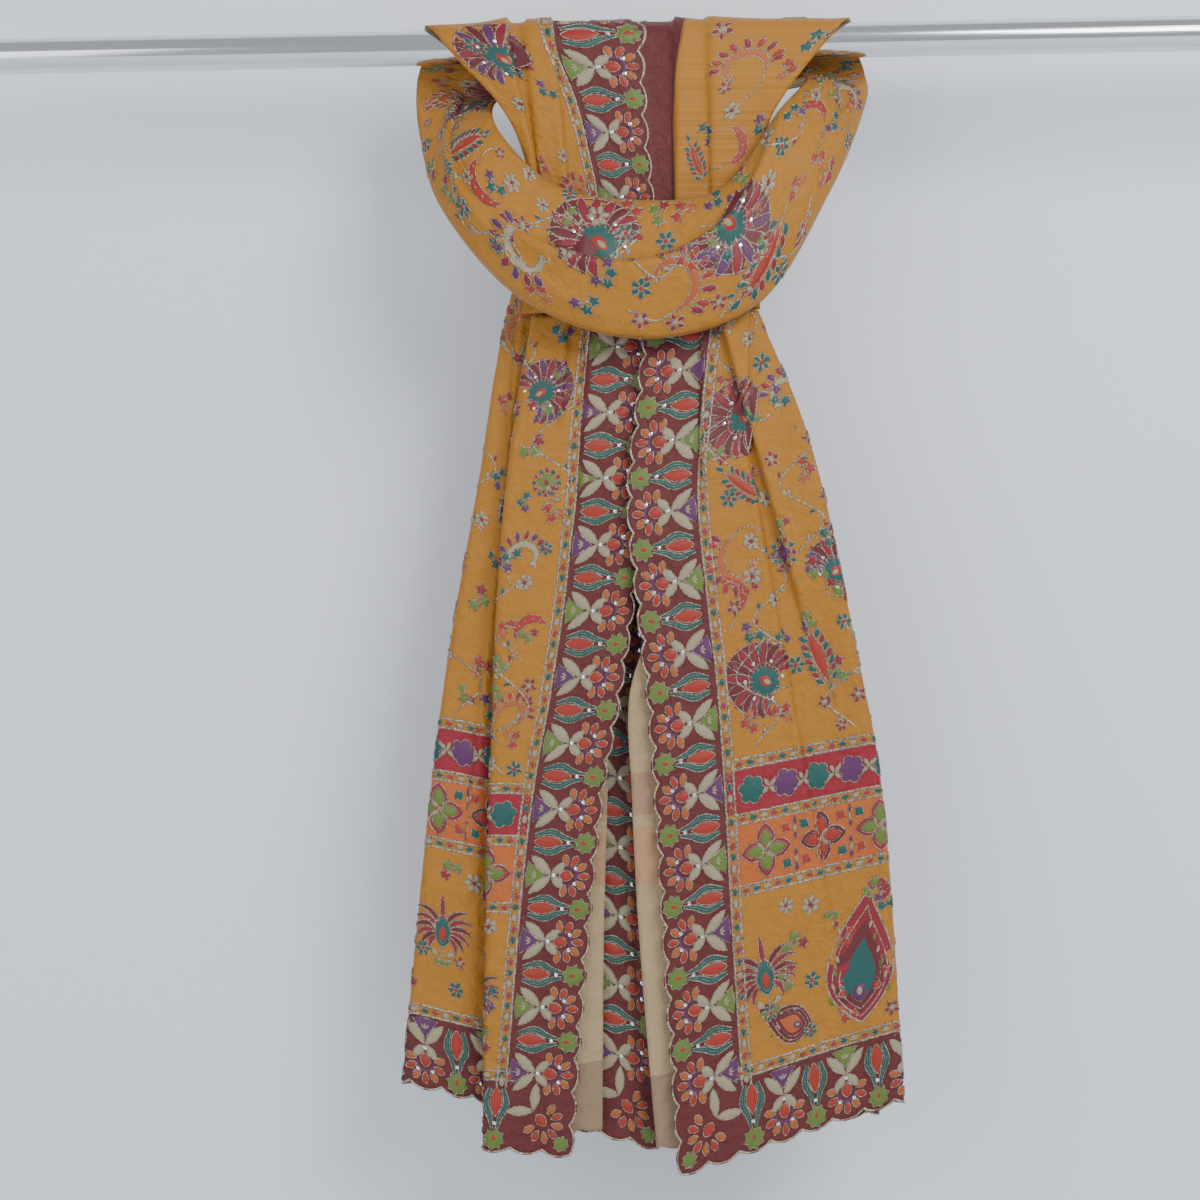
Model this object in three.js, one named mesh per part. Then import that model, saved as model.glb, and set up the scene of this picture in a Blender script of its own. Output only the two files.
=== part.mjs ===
// A long embroidered stole hung on a round rail. It is folded in half, laid over the rail with the
// halfway fold behind, and that fold is brought round below the rail as a collar, so that both ends
// hang down in front through it. Each stretch of the cloth that shows is a wall of its own.
// Millimetres. +X runs along the rail to the right, +Y to the back, +Z up. Origin on the rail's axis.
import * as THREE from "three";

const railRadius = 14;
const railHalfLength = 530;
const capThickness = 4;
const capRadius = 16;
const seamGap = 0.4;
const clothWall = 1.6;

// The cloth bends over the rail at this radius, measured to the middle of the wall.
const saddleRadius = railRadius + 3.2;
const waistDrop = 216;
const leanAtWaist = 3;
// The cloth hangs a little to the left of square with the rail.
const sway = 0.0196;
const foldEdgeWidth = 3;

// The stretch that rises from the waist and goes over the rail. up: cloth length above the waist.
const riseRows = [
  { up: 0, left: -94, right: 95 },
  { up: 40, left: -88, right: 94 },
  { up: 91, left: -84, right: 94 },
  { up: 124, left: -92, right: 98 },
  { up: 150, left: -102, right: 103 },
  { up: 174, left: -118, right: 117 },
  { up: 201, left: -143, right: 138 },
  { up: 216, left: -156, right: 151 },
  { up: 240, left: -171, right: 167 },
  { up: 268, left: -172, right: 172 },
];

// Pleats of the rise: where each fold line runs, how far it stands out and how far it reaches.
// side is +1 where the cloth right of the line lies on top, and -1 where the left cloth does.
const risePleats = [
  { name: "corner", waist: -70, middle: -84, rail: -105, height: 7, reach: 26, side: -1 },
  { name: "second", waist: -66, middle: -80, rail: -90, height: 4, reach: 14, side: 1 },
  { name: "third", waist: -56, middle: -60, rail: -70, height: 5, reach: 16, side: -1 },
  { name: "border edge", waist: 18, middle: 13, rail: -7, height: 2.5, reach: 60, side: -1 },
  { name: "border cover", waist: 27, middle: 29, rail: 28, height: 6, reach: 18, side: 1 },
  { name: "right panel", waist: 58, middle: 57, rail: 55, height: 5, reach: 30, side: 1 },
];

// The collar: the halfway fold of the stole, from behind the rail on the left, round the front of
// the hanging ends and back behind the rail on the right. outer is its lower edge, inner its upper.
const collarRows = [
  { name: "behind rail left", outer: [-172, 18.4, 1.6], inner: [-12, 18.4, 1.6], bulge: 3 },
  { name: "fall left", outer: [-180, 26, -26], inner: [-66, 30, -44], bulge: 4 },
  { name: "side left", outer: [-176, 2, -70], inner: [-112, 12, -40], bulge: 4 },
  { name: "leg left", outer: [-156, -30, -134], inner: [-112, -29, -72], bulge: 12 },
  { name: "front left", outer: [-92, -50, -208], inner: [-66, -39, -117], bulge: 17 },
  { name: "front", outer: [0, -54, -240], inner: [2, -40, -130], bulge: 17 },
  { name: "front right", outer: [92, -50, -214], inner: [64, -39, -121], bulge: 17 },
  { name: "leg right", outer: [150, -34, -124], inner: [108, -29, -62], bulge: 14 },
  { name: "side right", outer: [180, 0, -52], inner: [132, 8, -28], bulge: 7 },
  { name: "fall right", outer: [182, 26, -24], inner: [66, 30, -44], bulge: 4 },
  { name: "behind rail right", outer: [172, 18.4, 1.6], inner: [12, 18.4, 1.6], bulge: 3 },
];

// Folds of the collar. along: station of collarRows, across: 0 at the outer edge to 1 at the inner.
const collarFolds = [
  {
    name: "roll",
    height: 11,
    reach: 0.16,
    rows: [
      { along: 3, across: 0.3, share: 0 },
      { along: 4, across: 0.44, share: 0.7 },
      { along: 5, across: 0.5, share: 1 },
      { along: 6, across: 0.72, share: 1 },
      { along: 7, across: 0.96, share: 0.3 },
      { along: 8, across: 1.1, share: 0 },
    ],
  },
  {
    name: "lower leg",
    height: 6,
    reach: 0.12,
    rows: [
      { along: 1, across: 0.3, share: 0 },
      { along: 2, across: 0.42, share: 1 },
      { along: 3, across: 0.34, share: 1 },
      { along: 4, across: 0.2, share: 0.7 },
      { along: 5, across: 0.1, share: 0 },
    ],
  },
];
const collarFoldEdge = 0.06;

// Hanging ends. Each is a front layer from a free edge to an outer fold, and a layer that comes
// back behind it. edge, fold and back are the X of the free edge, of the outer fold and of the end
// of the back layer. drop is the distance below the rail's axis, at the free edge.
const tails = [
  {
    name: "right_end_front",
    layer: -36,
    layerAtWaist: -28,
    spacing: 9,
    hem: { edge: -902, fold: -846, back: -882 },
    rows: [
      { z: -217, edge: 3, fold: 92, back: 24 },
      { z: -300, edge: -6, fold: 124, back: 26 },
      { z: -365, edge: -12, fold: 142, back: 24 },
      { z: -445, edge: -5, fold: 158, back: 18 },
      { z: -525, edge: 4, fold: 173, back: -8 },
      { z: -605, edge: 10, fold: 187, back: -7 },
      { z: -725, edge: 17, fold: 198, back: -1 },
      { z: -902, edge: 29, fold: 208, back: 13 },
    ],
    folds: [
      { name: "by the border", top: 48, low: 50, height: 5, reach: 22, side: 1, from: -217, to: -380 },
      { name: "long ridge", top: 62, low: 140, height: 9, reach: 30, side: 1, from: -217, to: -500 },
      { name: "outer wave", top: 84, low: 168, height: 5, reach: 18, side: -1, from: -330, to: -800 },
    ],
    waves: [
      { count: 2.2, depth: 3.0, shift: 0.4 },
      { count: 3.7, depth: 1.4, shift: 2.1 },
    ],
  },
  {
    name: "left_end_front",
    layer: -25,
    layerAtWaist: -19,
    spacing: 8,
    hem: { edge: -886, fold: -880, back: -865 },
    rows: [
      { z: -217, edge: 19, fold: -86, back: -20 },
      { z: -300, edge: 9, fold: -100, back: -24 },
      { z: -365, edge: 5, fold: -108, back: -26 },
      { z: -445, edge: -3, fold: -114, back: -26 },
      { z: -525, edge: -15, fold: -117, back: -26 },
      { z: -605, edge: -29, fold: -120, back: -26 },
      { z: -725, edge: -41, fold: -123, back: -29 },
      { z: -886, edge: -53, fold: -125, back: -30 },
    ],
    folds: [
      { name: "waist tuck", top: -58, low: -66, height: 4, reach: 16, side: -1, from: -217, to: -330 },
      { name: "border tuck", top: -40, low: -50, height: 3, reach: 14, side: 1, from: -217, to: -420 },
    ],
    waves: [
      { count: 1.6, depth: 1.8, shift: 1.2 },
      { count: 3.1, depth: 0.9, shift: 0.3 },
    ],
  },
  {
    name: "right_end_back",
    layer: -17,
    layerAtWaist: -10,
    spacing: 9,
    hem: { edge: -878, fold: -858, back: -872 },
    rows: [
      { z: -34, edge: 14, fold: 60, back: 12 },
      { z: -120, edge: 15, fold: 72, back: 12 },
      { z: -217, edge: 16, fold: 84, back: 14 },
      { z: -365, edge: 20, fold: 132, back: 24 },
      { z: -525, edge: 22, fold: 160, back: 26 },
      { z: -725, edge: 24, fold: 182, back: 27 },
      { z: -878, edge: 26, fold: 190, back: 28 },
    ],
    folds: [
      { name: "inner ridge", top: 50, low: 110, height: 4, reach: 24, side: -1, from: -217, to: -800 },
    ],
    waves: [
      { count: 1.9, depth: 2.2, shift: 2.4 },
      { count: 3.3, depth: 1.0, shift: 0.9 },
    ],
  },
  {
    name: "left_end_back",
    layer: -6,
    layerAtWaist: -2,
    spacing: 9,
    hem: { edge: -886, fold: -828, back: -862 },
    rows: [
      { z: -34, edge: 8, fold: -60, back: 6 },
      { z: -120, edge: 9, fold: -72, back: 6 },
      { z: -217, edge: 10, fold: -104, back: 8 },
      { z: -285, edge: 12, fold: -117, back: 6 },
      { z: -365, edge: 14, fold: -128, back: 4 },
      { z: -525, edge: 16, fold: -154, back: 0 },
      { z: -685, edge: 17, fold: -172, back: -4 },
      { z: -886, edge: 17, fold: -190, back: -8 },
    ],
    folds: [
      { name: "side ridge", top: -96, low: -150, height: 4, reach: 22, side: 1, from: -217, to: -760 },
    ],
    waves: [
      { count: 2.1, depth: 1.9, shift: 0.8 },
      { count: 3.9, depth: 0.8, shift: 2.9 },
    ],
  },
];

const group = new THREE.Group();

const clamp = (value, low, high) => Math.min(high, Math.max(low, value));

function smooth(value) {
  const t = clamp(value, 0, 1);
  return t * t * (3 - 2 * t);
}

// A smooth curve through one column of a table, by another column that rises from row to row.
function column(rows, by, key, at) {
  const rising = rows[rows.length - 1][by] > rows[0][by] ? rows : [...rows].reverse();
  const last = rising.length - 1;
  const x = clamp(at, rising[0][by], rising[last][by]);
  let k = 0;
  while (k < last - 1 && x > rising[k + 1][by]) {
    k += 1;
  }
  const slope = (i) => {
    const a = rising[Math.max(i - 1, 0)];
    const b = rising[Math.min(i + 1, last)];
    return (b[key] - a[key]) / (b[by] - a[by]);
  };
  const span = rising[k + 1][by] - rising[k][by];
  const t = (x - rising[k][by]) / span;
  const start = rising[k][key] * (2 * t ** 3 - 3 * t ** 2 + 1);
  const end = rising[k + 1][key] * (3 * t ** 2 - 2 * t ** 3);
  const leave = slope(k) * span * (t ** 3 - 2 * t ** 2 + t);
  const arrive = slope(k + 1) * span * (t ** 3 - t ** 2);
  return start + end + leave + arrive;
}

// How far a knife pleat lifts the cloth at a distance past its fold line: a short step up, then a
// slow fall back to the panel.
function pleat(distance, reach, edge) {
  return smooth((distance + edge) / edge) * Math.exp(-Math.max(distance, 0) / reach);
}

// A closed wall round a surface: surface(a, b) gives the middle of the cloth for a, b in 0 to 1.
function addWall(name, surface, across, along, thickness, material) {
  const step = 1e-3;
  const point = (a, b) => {
    const [x, y, z] = surface(a, b);
    return new THREE.Vector3(x + sway * Math.min(z, 0), y, z);
  };
  const normalAt = (a, b) => {
    const da = point(Math.min(a + step, 1), b).sub(point(Math.max(a - step, 0), b));
    const db = point(a, Math.min(b + step, 1)).sub(point(a, Math.max(b - step, 0)));
    return da.cross(db).normalize();
  };
  const columns = across + 1;
  const rows = along + 1;
  const corners = [];
  for (const side of [0.5, -0.5]) {
    for (let j = 0; j < rows; j += 1) {
      for (let i = 0; i < columns; i += 1) {
        const a = i / across;
        const b = j / along;
        const corner = point(a, b).addScaledVector(normalAt(a, b), side * thickness);
        corners.push(corner.x, corner.y, corner.z);
      }
    }
  }
  const index = (side, i, j) => side * columns * rows + j * columns + i;
  const triangles = [];
  const quad = (p, q, r, s) => triangles.push(p, q, r, p, r, s);
  for (let j = 0; j < along; j += 1) {
    for (let i = 0; i < across; i += 1) {
      quad(index(0, i, j), index(0, i + 1, j), index(0, i + 1, j + 1), index(0, i, j + 1));
      quad(index(1, i, j), index(1, i, j + 1), index(1, i + 1, j + 1), index(1, i + 1, j));
    }
  }
  for (let i = 0; i < across; i += 1) {
    quad(index(1, i, 0), index(1, i + 1, 0), index(0, i + 1, 0), index(0, i, 0));
    quad(index(0, i, along), index(0, i + 1, along), index(1, i + 1, along), index(1, i, along));
  }
  for (let j = 0; j < along; j += 1) {
    quad(index(0, 0, j), index(0, 0, j + 1), index(1, 0, j + 1), index(1, 0, j));
    quad(index(1, across, j), index(1, across, j + 1), index(0, across, j + 1), index(0, across, j));
  }
  const geometry = new THREE.BufferGeometry();
  geometry.setAttribute("position", new THREE.Float32BufferAttribute(corners, 3));
  geometry.setIndex(triangles);
  geometry.computeVertexNormals();
  const mesh = new THREE.Mesh(geometry, material);
  mesh.name = name;
  group.add(mesh);
}

const mustardCloth = () =>
  new THREE.MeshStandardMaterial({ color: 0xb9812a, roughness: 0.75, metalness: 0 });
const chrome = () => new THREE.MeshStandardMaterial({ color: 0xc9ccce, roughness: 0.18, metalness: 1 });
const capMetal = () => new THREE.MeshStandardMaterial({ color: 0xa9adb0, roughness: 0.35, metalness: 1 });

// The rail and its two end plates.
function addRail() {
  const rail = new THREE.Mesh(
    new THREE.CylinderGeometry(railRadius, railRadius, 2 * railHalfLength, 64),
    chrome(),
  );
  rail.name = "rail";
  rail.rotation.z = Math.PI / 2;
  group.add(rail);
  for (const side of [-1, 1]) {
    const cap = new THREE.Mesh(
      new THREE.CylinderGeometry(capRadius, capRadius, capThickness, 64),
      capMetal(),
    );
    cap.name = side < 0 ? "rail_cap_left" : "rail_cap_right";
    cap.rotation.z = Math.PI / 2;
    cap.position.x = side * (railHalfLength + seamGap + capThickness / 2);
    group.add(cap);
  }
}

// How far the pleats of the rise stand out at x, at a length of cloth above the waist.
function riseRelief(x, up) {
  let out = 0;
  for (const fold of risePleats) {
    const track = [
      { up: 0, x: fold.waist },
      { up: 0.55 * waistDrop, x: fold.middle },
      { up: waistDrop, x: fold.rail },
      { up: 1.25 * waistDrop, x: fold.rail },
    ];
    const distance = (x - column(track, "up", "x", up)) * fold.side;
    out += fold.height * pleat(distance, fold.reach, foldEdgeWidth);
  }
  return out;
}

// The rise: up from the waist in front of the rail, then a half turn over it.
const riseLength = riseRows[riseRows.length - 1].up;
function rise(a, b) {
  const up = b * riseLength;
  const left = column(riseRows, "up", "left", up);
  const x = left + a * (column(riseRows, "up", "right", up) - left);
  const turn = Math.max(up - waistDrop, 0) / saddleRadius;
  const lean = leanAtWaist * (1 - Math.min(up / waistDrop, 1));
  const fade = up > waistDrop ? 1 - 0.75 * smooth(turn / Math.PI) : 1;
  const out = saddleRadius + lean + fade * riseRelief(x, up);
  return [x, -out * Math.cos(turn), Math.min(up - waistDrop, 0) + out * Math.sin(turn)];
}

// A point of the collar. along is in stations of collarRows, across from the outer edge inward.
function collar(across, along) {
  const rows = collarRows.map((row, k) => ({
    k,
    ox: row.outer[0],
    oy: row.outer[1],
    oz: row.outer[2],
    ix: row.inner[0],
    iy: row.inner[1],
    iz: row.inner[2],
    bulge: row.bulge,
  }));
  const read = (key, at) => column(rows, "k", key, at);
  const edgePoint = (side, at) =>
    new THREE.Vector3(read(`${side}x`, at), read(`${side}y`, at), read(`${side}z`, at));
  const last = collarRows.length - 1;
  const outer = edgePoint("o", along);
  const inner = edgePoint("i", along);
  const ahead = edgePoint("o", Math.min(along + 0.05, last)).add(
    edgePoint("i", Math.min(along + 0.05, last)),
  );
  const behind = edgePoint("o", Math.max(along - 0.05, 0)).add(
    edgePoint("i", Math.max(along - 0.05, 0)),
  );
  const outward = ahead.sub(behind).cross(inner.clone().sub(outer)).normalize();
  let relief = read("bulge", along) * Math.sin(Math.PI * clamp(across, 0, 1)) ** 0.6;
  for (const fold of collarFolds) {
    const distance = column(fold.rows, "along", "across", along) - across;
    const share = column(fold.rows, "along", "share", along);
    relief += fold.height * share * pleat(distance, fold.reach, collarFoldEdge);
  }
  const point = outer.lerp(inner, across).addScaledVector(outward, relief);
  return [point.x, point.y, point.z];
}

// A hanging end: front layer, outer fold and back layer as one strip. a runs from the free edge of
// the front layer to the end of the back layer, and b from the top to the hem.
const turnShare = 0.08;
function tail(spec, a, b) {
  const top = spec.rows[0].z;
  const frontShare = 0.5 - turnShare / 2;
  const part = a < frontShare ? 0 : a > 1 - frontShare ? 2 : 1;
  const acrossFront = part === 0 ? a / frontShare : part === 2 ? (1 - a) / frontShare : 1;
  const level = spec.rows[spec.rows.length - 1].z;
  const nominal = top + b * (level - top);
  const edge = column(spec.rows, "z", "edge", nominal);
  const fold = column(spec.rows, "z", "fold", nominal);
  const back = column(spec.rows, "z", "back", nominal);
  const start = part === 2 ? back : edge;
  const radius = spec.spacing / 2;
  const outwardX = Math.sign(fold - edge);
  const arcCentre = fold - outwardX * radius;
  let x = start + acrossFront * (arcCentre - start);
  let deep = part === 2 ? spec.spacing : 0;
  if (part === 1) {
    const turn = Math.PI * ((a - frontShare) / turnShare);
    x = arcCentre + outwardX * radius * Math.sin(turn);
    deep = radius * (1 - Math.cos(turn));
  }
  const hemEnd = part === 2 ? spec.hem.back : spec.hem.edge;
  const hem = spec.hem.fold + (hemEnd - spec.hem.fold) * (1 - acrossFront);
  const z = top + b * (hem - top);
  const settle = smooth((-217 - nominal) / 200);
  const layer = spec.layerAtWaist + (spec.layer - spec.layerAtWaist) * settle;
  const place = (x - edge) / (fold - edge);
  let out = 0;
  for (const crease of spec.folds) {
    const run = clamp((crease.from - z) / (crease.from - crease.to), 0, 1);
    const line = crease.top + (crease.low - crease.top) * run;
    const strength = crease.height * smooth((1 - run) * 3);
    out += strength * pleat((x - line) * crease.side, crease.reach, foldEdgeWidth);
  }
  for (const wave of spec.waves) {
    out += settle * wave.depth * Math.sin(wave.count * Math.PI * place + wave.shift);
  }
  return [x, layer + deep - out, z];
}

addRail();
addWall("rise_over_rail", rise, 28, 16, clothWall, mustardCloth());

const collarPieces = [
  { name: "collar_left", from: 0, to: 3.6, steps: 14 },
  { name: "collar_front", from: 3.61, to: 6.39, steps: 14 },
  { name: "collar_right", from: 6.4, to: 10, steps: 14 },
];
for (const piece of collarPieces) {
  const surface = (a, b) => collar(1 - a, piece.from + b * (piece.to - piece.from));
  addWall(piece.name, surface, 12, piece.steps, clothWall, mustardCloth());
}
for (const spec of tails) {
  const rightward = spec.rows[0].fold > spec.rows[0].edge;
  const surface = (a, b) => tail(spec, rightward ? a : 1 - a, 1 - b);
  addWall(spec.name, surface, 22, 12, clothWall, mustardCloth());
}

export default group;
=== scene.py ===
"""A long embroidered stole on a chrome rail: cloth, thread work, metal thread and sequins.

Cloth sizes are in millimetres until a mesh is made. u runs across the cloth from its long edge,
v runs along it from its hem, and x, y, z are the frame's axes.
"""
import math

import bpy
import numpy as np
from mathutils import Matrix, Vector


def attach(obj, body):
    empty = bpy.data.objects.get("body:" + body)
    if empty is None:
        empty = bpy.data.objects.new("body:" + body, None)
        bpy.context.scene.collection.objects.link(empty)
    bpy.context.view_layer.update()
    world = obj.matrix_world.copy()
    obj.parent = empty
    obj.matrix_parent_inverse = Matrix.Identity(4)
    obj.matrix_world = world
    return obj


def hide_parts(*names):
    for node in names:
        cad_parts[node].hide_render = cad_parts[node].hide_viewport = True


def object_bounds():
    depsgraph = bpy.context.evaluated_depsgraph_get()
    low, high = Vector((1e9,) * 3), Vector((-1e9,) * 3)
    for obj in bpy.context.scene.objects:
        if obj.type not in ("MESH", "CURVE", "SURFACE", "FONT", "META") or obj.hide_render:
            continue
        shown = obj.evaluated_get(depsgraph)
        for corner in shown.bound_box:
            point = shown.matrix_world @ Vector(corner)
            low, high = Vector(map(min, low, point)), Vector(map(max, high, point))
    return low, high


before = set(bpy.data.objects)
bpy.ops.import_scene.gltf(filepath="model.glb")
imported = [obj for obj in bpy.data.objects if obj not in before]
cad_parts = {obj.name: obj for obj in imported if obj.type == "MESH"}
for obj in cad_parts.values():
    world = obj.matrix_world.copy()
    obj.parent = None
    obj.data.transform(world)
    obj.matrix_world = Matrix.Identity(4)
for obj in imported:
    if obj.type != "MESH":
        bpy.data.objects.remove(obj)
cad_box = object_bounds()
MM = 0.001

# --------------------------------------------------------------------------- the cloth's form

RAIL_RADIUS = 14
SADDLE_RADIUS = RAIL_RADIUS + 3.2
WAIST_DROP = 216
LEAN_AT_WAIST = 3
SWAY = 0.0196
PLEAT_EDGE = 2.2
TURN_SHARE = 0.08


def table(names, *rows):
    """Rows of numbers under named columns."""
    return {name: np.array([row[k] for row in rows], float) for k, name in enumerate(names.split())}


RISE = table(
    "up left right",
    (0, -94, 95), (40, -88, 94), (91, -84, 94), (124, -92, 98), (150, -102, 103),
    (174, -118, 117), (201, -143, 138), (216, -156, 151), (240, -171, 167), (268, -172, 172),
)

# Fold lines of the rise: side is +1 where the cloth right of the line lies on top.
PLEATS = table(
    "waist middle rail height reach side",
    (-70, -84, -105, 7, 26, -1),
    (-66, -80, -90, 4, 14, 1),
    (-56, -60, -70, 5, 16, -1),
    (18, 13, -7, 2.5, 60, -1),
    (27, 29, 28, 6, 18, 1),
    (58, 57, 55, 5, 30, 1),
)

COLLAR = table(
    "station ox oy oz ix iy iz bulge",
    (0, -172, 18.4, 1.6, -12, 18.4, 1.6, 3),
    (1, -180, 26, -26, -66, 30, -44, 4),
    (2, -176, 2, -70, -112, 12, -40, 4),
    (3, -156, -30, -134, -112, -29, -72, 12),
    (4, -92, -50, -208, -66, -39, -117, 17),
    (5, 0, -54, -240, 2, -40, -130, 17),
    (6, 92, -50, -214, 64, -39, -121, 17),
    (7, 150, -34, -124, 108, -29, -62, 14),
    (8, 180, 0, -52, 132, 8, -28, 7),
    (9, 182, 26, -24, 66, 30, -44, 4),
    (10, 172, 18.4, 1.6, 12, 18.4, 1.6, 3),
)

# Folds of the collar: where each crosses it (0 outer edge, 1 inner edge) and its share of height.
ROLL_FOLD = table(
    "station across share",
    (3, 0.3, 0), (4, 0.44, 0.7), (5, 0.5, 1), (6, 0.72, 1), (7, 0.96, 0.3), (8, 1.1, 0),
)
LEG_FOLD = table(
    "station across share",
    (1, 0.3, 0), (2, 0.42, 1), (3, 0.34, 1), (4, 0.2, 0.7), (5, 0.1, 0),
)
COLLAR_FOLDS = ((ROLL_FOLD, 11, 0.16), (LEG_FOLD, 6, 0.12))

# Hanging ends. edge, fold and back are the x of the free edge, the outer fold and the back layer's
# end. A crease has its x at the top and low end, height, reach, side and the z it runs between.
TAILS = {
    "right_end_front": {
        "layer": -36, "waist": -28, "spacing": 9, "hem": (-902, -846, -882),
        "rows": table(
            "z edge fold back",
            (-217, 3, 92, 24), (-300, -6, 124, 26), (-365, -12, 142, 24), (-445, -5, 158, 18),
            (-525, 4, 173, -8), (-605, 10, 187, -7), (-725, 17, 198, -1), (-902, 29, 208, 13),
        ),
        "creases": (
            (48, 50, 5, 22, 1, -217, -380), (62, 140, 9, 30, 1, -217, -500),
            (84, 168, 5, 18, -1, -330, -800),
        ),
        "waves": ((2.2, 3.0, 0.4), (3.7, 1.4, 2.1)),
    },
    "left_end_front": {
        "layer": -25, "waist": -19, "spacing": 8, "hem": (-886, -880, -865),
        "rows": table(
            "z edge fold back",
            (-217, 19, -86, -20), (-300, 9, -100, -24), (-365, 5, -108, -26), (-445, -3, -114, -26),
            (-525, -15, -117, -26), (-605, -29, -120, -26), (-725, -41, -123, -29),
            (-886, -53, -125, -30),
        ),
        "creases": ((-58, -66, 4, 16, -1, -217, -330), (-40, -50, 3, 14, 1, -217, -420)),
        "waves": ((1.6, 1.8, 1.2), (3.1, 0.9, 0.3)),
    },
    "right_end_back": {
        "layer": -17, "waist": -10, "spacing": 9, "hem": (-878, -858, -872),
        "rows": table(
            "z edge fold back",
            (-34, 14, 60, 12), (-120, 15, 72, 12), (-217, 16, 84, 14), (-365, 20, 132, 24),
            (-525, 22, 160, 26), (-725, 24, 182, 27), (-878, 26, 190, 28),
        ),
        "creases": ((50, 110, 4, 24, -1, -217, -800),),
        "waves": ((1.9, 2.2, 2.4), (3.3, 1.0, 0.9)),
    },
    "left_end_back": {
        "layer": -6, "waist": -2, "spacing": 9, "hem": (-886, -828, -862),
        "rows": table(
            "z edge fold back",
            (-34, 8, -60, 6), (-120, 9, -72, 6), (-217, 10, -104, 8), (-285, 12, -117, 6),
            (-365, 14, -128, 4), (-525, 16, -154, 0), (-685, 17, -172, -4), (-886, 17, -190, -8),
        ),
        "creases": ((-96, -150, 4, 22, 1, -217, -760),),
        "waves": ((2.1, 1.9, 0.8), (3.9, 0.8, 2.9)),
    },
}


def column(rows, by, key, at):
    """A smooth curve through one column of a table: cubic pieces that leave and reach each row with
    the slope between its neighbours."""
    order = np.argsort(rows[by])
    x, y = rows[by][order], rows[key][order]
    at = np.clip(at, x[0], x[-1])
    k = np.clip(np.searchsorted(x, at, side="right") - 1, 0, len(x) - 2)
    before, after = np.maximum(np.arange(len(x)) - 1, 0), np.minimum(np.arange(len(x)) + 1, len(x) - 1)
    slope = (y[after] - y[before]) / (x[after] - x[before])
    span = x[k + 1] - x[k]
    t = (at - x[k]) / span
    return (
        y[k] * (2 * t**3 - 3 * t**2 + 1)
        + y[k + 1] * (3 * t**2 - 2 * t**3)
        + slope[k] * span * (t**3 - 2 * t**2 + t)
        + slope[k + 1] * span * (t**3 - t**2)
    )


def smooth(value):
    t = np.clip(value, 0, 1)
    return t * t * (3 - 2 * t)


def pleat(distance, reach, edge=PLEAT_EDGE):
    """A short step up at a fold line, then a slow fall back to the panel."""
    return smooth((distance + edge) / edge) * np.exp(-np.maximum(distance, 0) / reach)


def ripple(x, z, size, seed):
    """Soft uneven puckers: a sum of eight slanted sines of about one wavelength."""
    dice = np.random.default_rng(seed)
    total = 0
    for _ in range(8):
        turn, phase, scale = dice.uniform(0, math.pi), dice.uniform(0, 6.28), dice.uniform(0.7, 1.5)
        wave = 2 * math.pi / (size * scale)
        total = total + np.sin(wave * (x * math.cos(turn) + z * math.sin(turn)) + phase)
    return total / 8


def rise_points(a, b):
    """Up from the waist in front of the rail, then half a turn over it, with pleats standing out."""
    up = b * RISE["up"][-1]
    left = column(RISE, "up", "left", up)
    x = left + a * (column(RISE, "up", "right", up) - left)
    out = 0
    track = table("up x", (0, 0), (0.55 * WAIST_DROP, 0), (WAIST_DROP, 0), (1.25 * WAIST_DROP, 0))
    for k in range(len(PLEATS["side"])):
        track["x"] = np.array([PLEATS[key][k] for key in ("waist", "middle", "rail", "rail")])
        distance = (x - column(track, "up", "x", up)) * PLEATS["side"][k]
        out = out + PLEATS["height"][k] * pleat(distance, PLEATS["reach"][k])
    out = out + 1.1 * ripple(x, 0.35 * up, 34, 5)
    turn = np.maximum(up - WAIST_DROP, 0) / SADDLE_RADIUS
    lean = LEAN_AT_WAIST * (1 - np.minimum(up / WAIST_DROP, 1))
    fade = np.where(up > WAIST_DROP, 1 - 0.75 * smooth(turn / math.pi), 1)
    out = SADDLE_RADIUS + lean + fade * out
    z = np.minimum(up - WAIST_DROP, 0) + out * np.sin(turn)
    return np.stack([x + SWAY * np.minimum(z, 0), -out * np.cos(turn), z], -1)


def collar_points(a, b):
    """The halfway fold of the stole. a goes along it from left to right, b across it from the outer
    edge to the inner: a ruled strip between two edges, bulged outward, with folds that step."""
    along = a * COLLAR["station"][-1]

    def read(side, at):
        return np.stack([column(COLLAR, "station", side + axis, at) for axis in "xyz"], -1)

    last = COLLAR["station"][-1]
    ahead, behind = np.minimum(along + 0.05, last), np.maximum(along - 0.05, 0)
    outer, inner = read("o", along), read("i", along)
    forward = read("o", ahead) + read("i", ahead) - read("o", behind) - read("i", behind)
    outward = np.cross(forward, inner - outer)
    outward /= np.linalg.norm(outward, axis=-1, keepdims=True)
    relief = column(COLLAR, "station", "bulge", along) * np.sin(math.pi * b) ** 0.6
    for fold, height, reach in COLLAR_FOLDS:
        distance = column(fold, "station", "across", along) - b
        relief = relief + height * column(fold, "station", "share", along) * pleat(distance, reach, 0.05)
    middle = smooth(along - 1) * smooth(last - 1 - along)
    relief = relief + middle * 1.3 * np.sin(9 * b + 0.9 * along) * np.sin(math.pi * b)
    point = outer + (inner - outer) * b[..., None] + outward * relief[..., None]
    point[..., 0] += SWAY * np.minimum(point[..., 2], 0)
    return point


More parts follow.
